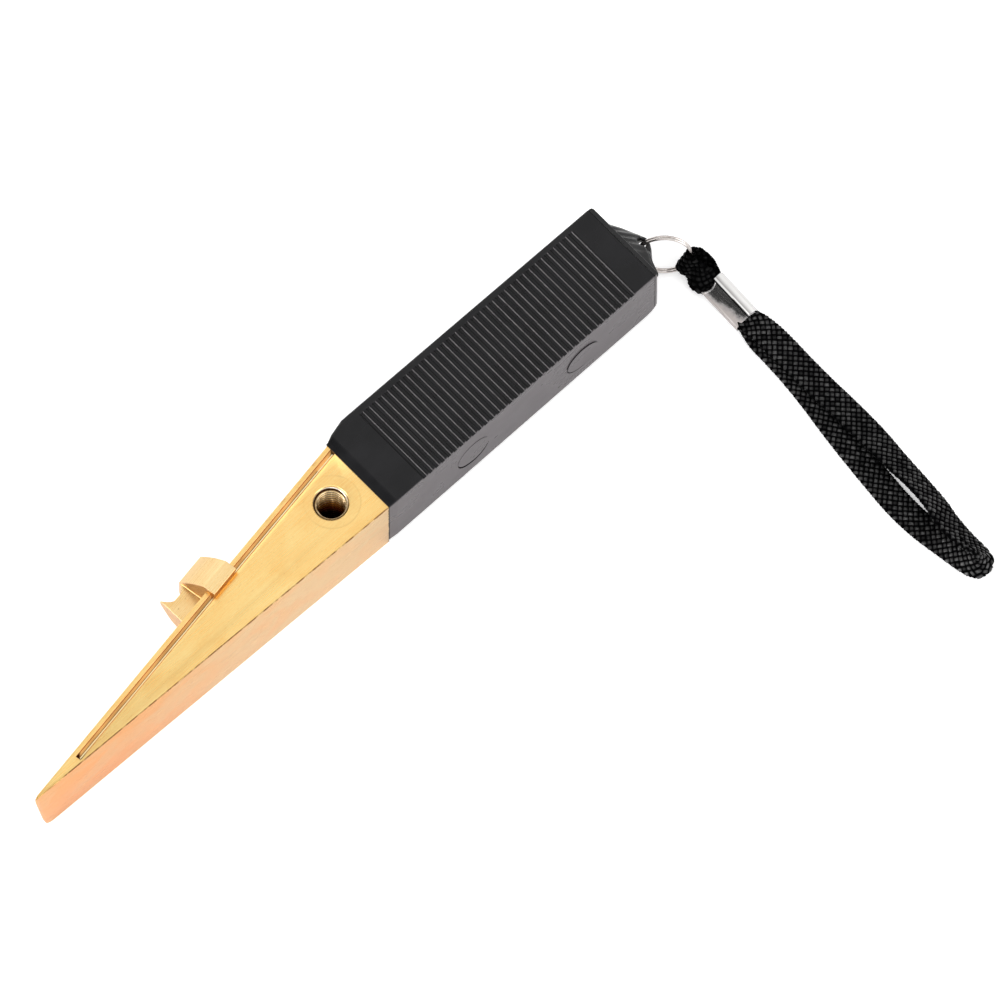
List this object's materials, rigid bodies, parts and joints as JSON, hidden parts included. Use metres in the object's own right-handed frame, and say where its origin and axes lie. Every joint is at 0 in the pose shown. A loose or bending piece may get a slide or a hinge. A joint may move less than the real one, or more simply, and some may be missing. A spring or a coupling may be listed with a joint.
{
  "type": "wedge ground clamp",
  "caption": "Wedge-type welding ground clamp: tapered brass bar with a sliding hooked jaw on a slanted rail, tapped cable hole, ribbed moulded grip and wrist strap.",
  "frame": {"origin": "axis of the tapped cable hole, on the underside of the bar", "axes": "+X along the grip from the wedge's tip to the strap end, +Y towards the slanted rail side, +Z out of the ribbed face, along the cable hole"},
  "size_m": [0.2563, 0.1492, 0.0273],
  "materials": {
    "brass_bar": "brushed lengthwise, lacquered, coppery side face",
    "brass_strip": "rolled strip, satin",
    "brass_jaw": "milled, brushed along the rail",
    "screw_steel": "zinc plated",
    "grip_plastic": "moulded, semi-gloss",
    "cap_plastic": "moulded, glossy",
    "ring_steel": "nickel plated",
    "strap_webbing": "flat braided nylon",
    "crimp_metal": "bright rolled sheet"
  },
  "bodies": {
    "root": {"wedge_body": "brass_bar", "friction_strip": "brass_strip", "rail_spacers": "brass_strip", "rail_screws": "screw_steel", "grip_sleeve": "grip_plastic", "grip_screws": "screw_steel", "grip_screw_covers": "grip_plastic", "end_cap": "cap_plastic", "end_cap_screws": "screw_steel"},
    "jaw": {"sliding_jaw": "brass_jaw"},
    "ring": {"split_ring": "ring_steel"},
    "strap": {"strap_ring_loop": "strap_webbing", "strap_crimp": "crimp_metal", "strap_hand_loop": "strap_webbing"}
  },
  "joints": [
    {"name": "jaw_slide", "type": "slide", "parent": "root", "child": "jaw", "axis": [0.9863, 0.1651, 0], "range_m": [-0.0612, 0.0386]},
    {"name": "ring_swing", "type": "hinge", "parent": "root", "child": "ring", "pos_m": [0.12065, 0.00165, 0.012], "axis": [0, 0, 1], "range_deg": [-20, 60]},
    {"name": "strap_swing", "type": "hinge", "parent": "ring", "child": "strap", "pos_m": [0.13008, -0.00858, 0.008], "axis": [0, 0, 1], "range_deg": [-42, 80]}
  ]
}
